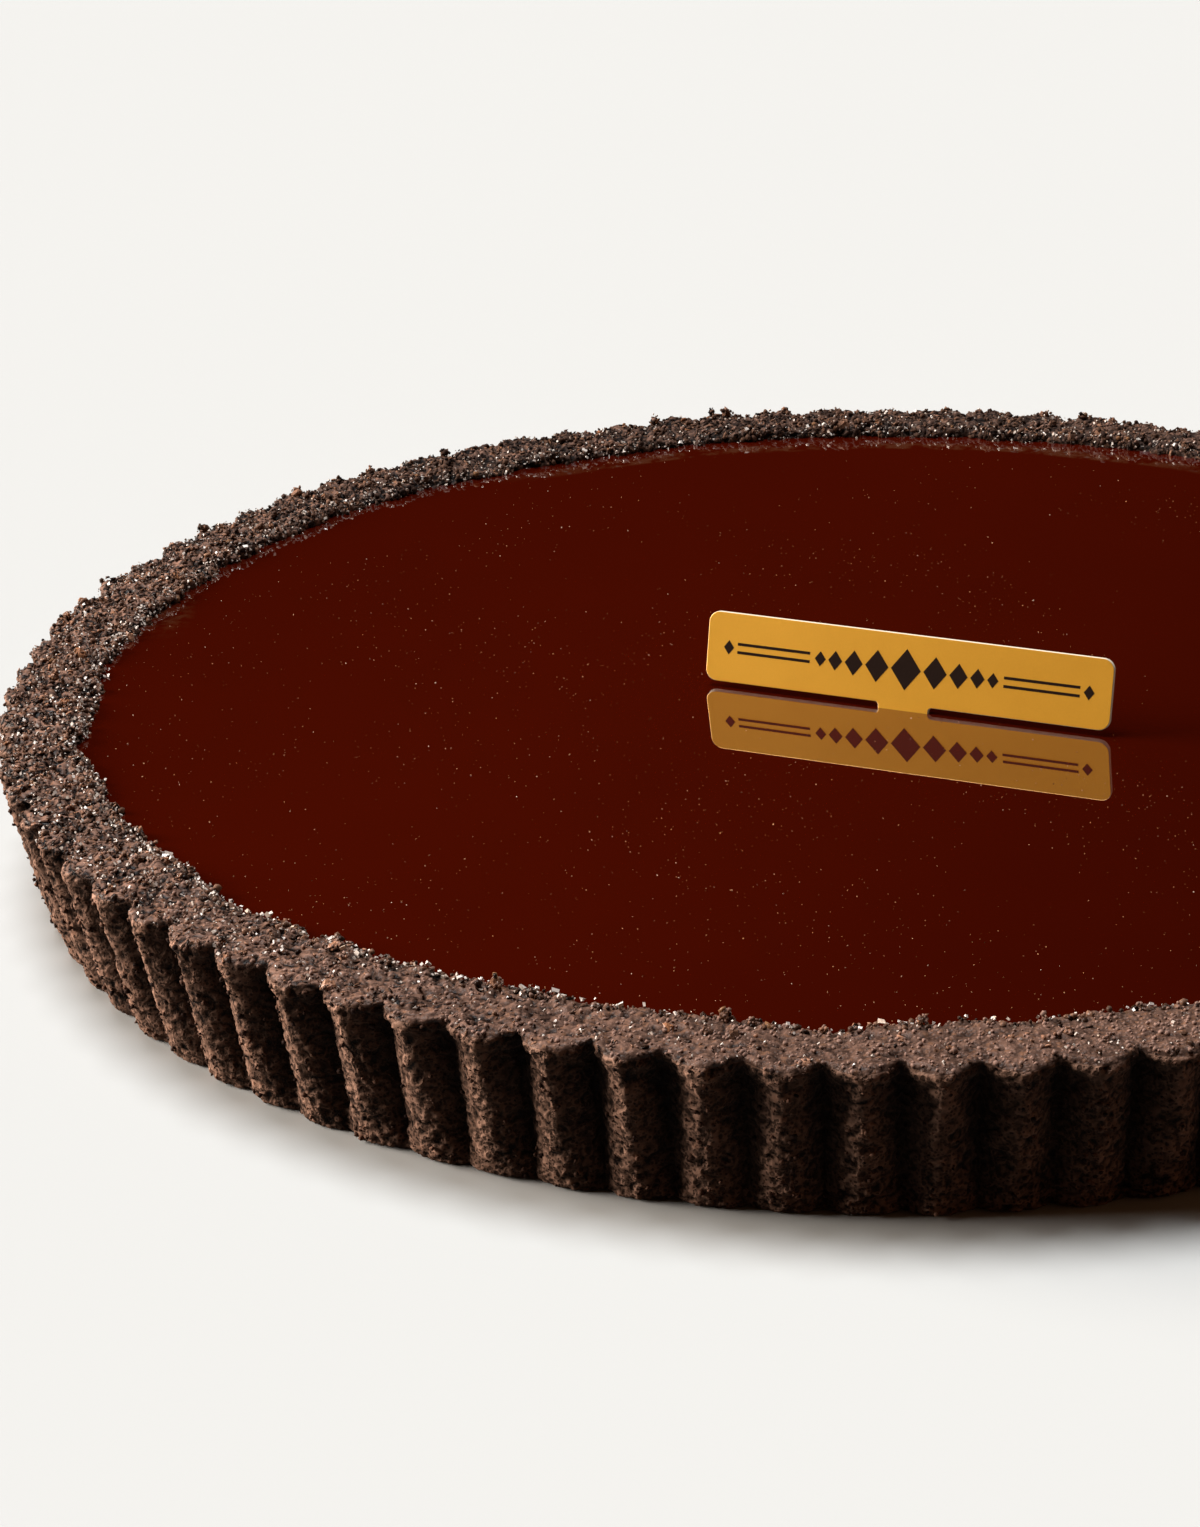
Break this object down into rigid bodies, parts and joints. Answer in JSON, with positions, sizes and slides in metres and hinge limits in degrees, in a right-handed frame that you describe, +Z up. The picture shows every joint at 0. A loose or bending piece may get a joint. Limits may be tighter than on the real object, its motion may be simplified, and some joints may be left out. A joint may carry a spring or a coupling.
{
  "type": "chocolate tart",
  "caption": "Round chocolate tart: fluted dark cocoa crumb crust, mirror-flat chocolate filling and a small gold plaque standing on it.",
  "frame": {"origin": "centre of the tart's flat foot, on the surface it rests on", "axes": "+Z up along the tart's axis; -Y is the front, which the plaque's face is turned to; +X to the right seen from the front"},
  "size_m": [0.2308, 0.2308, 0.0288],
  "materials": {
    "cocoa_crumb": "dry granular cocoa biscuit crumb with small bright sugar crystals; matte_plastic stands in for baked crumb",
    "dark_chocolate": "mirror-gloss set dark chocolate with tiny pale specks; gloss_plastic stands in for chocolate",
    "gold": "satin gold face on thin stiff card with pale cut edges"
  },
  "bodies": {
    "root": {"crust": "cocoa_crumb", "filling": "dark_chocolate", "plaque": "gold"}
  },
  "joints": []
}
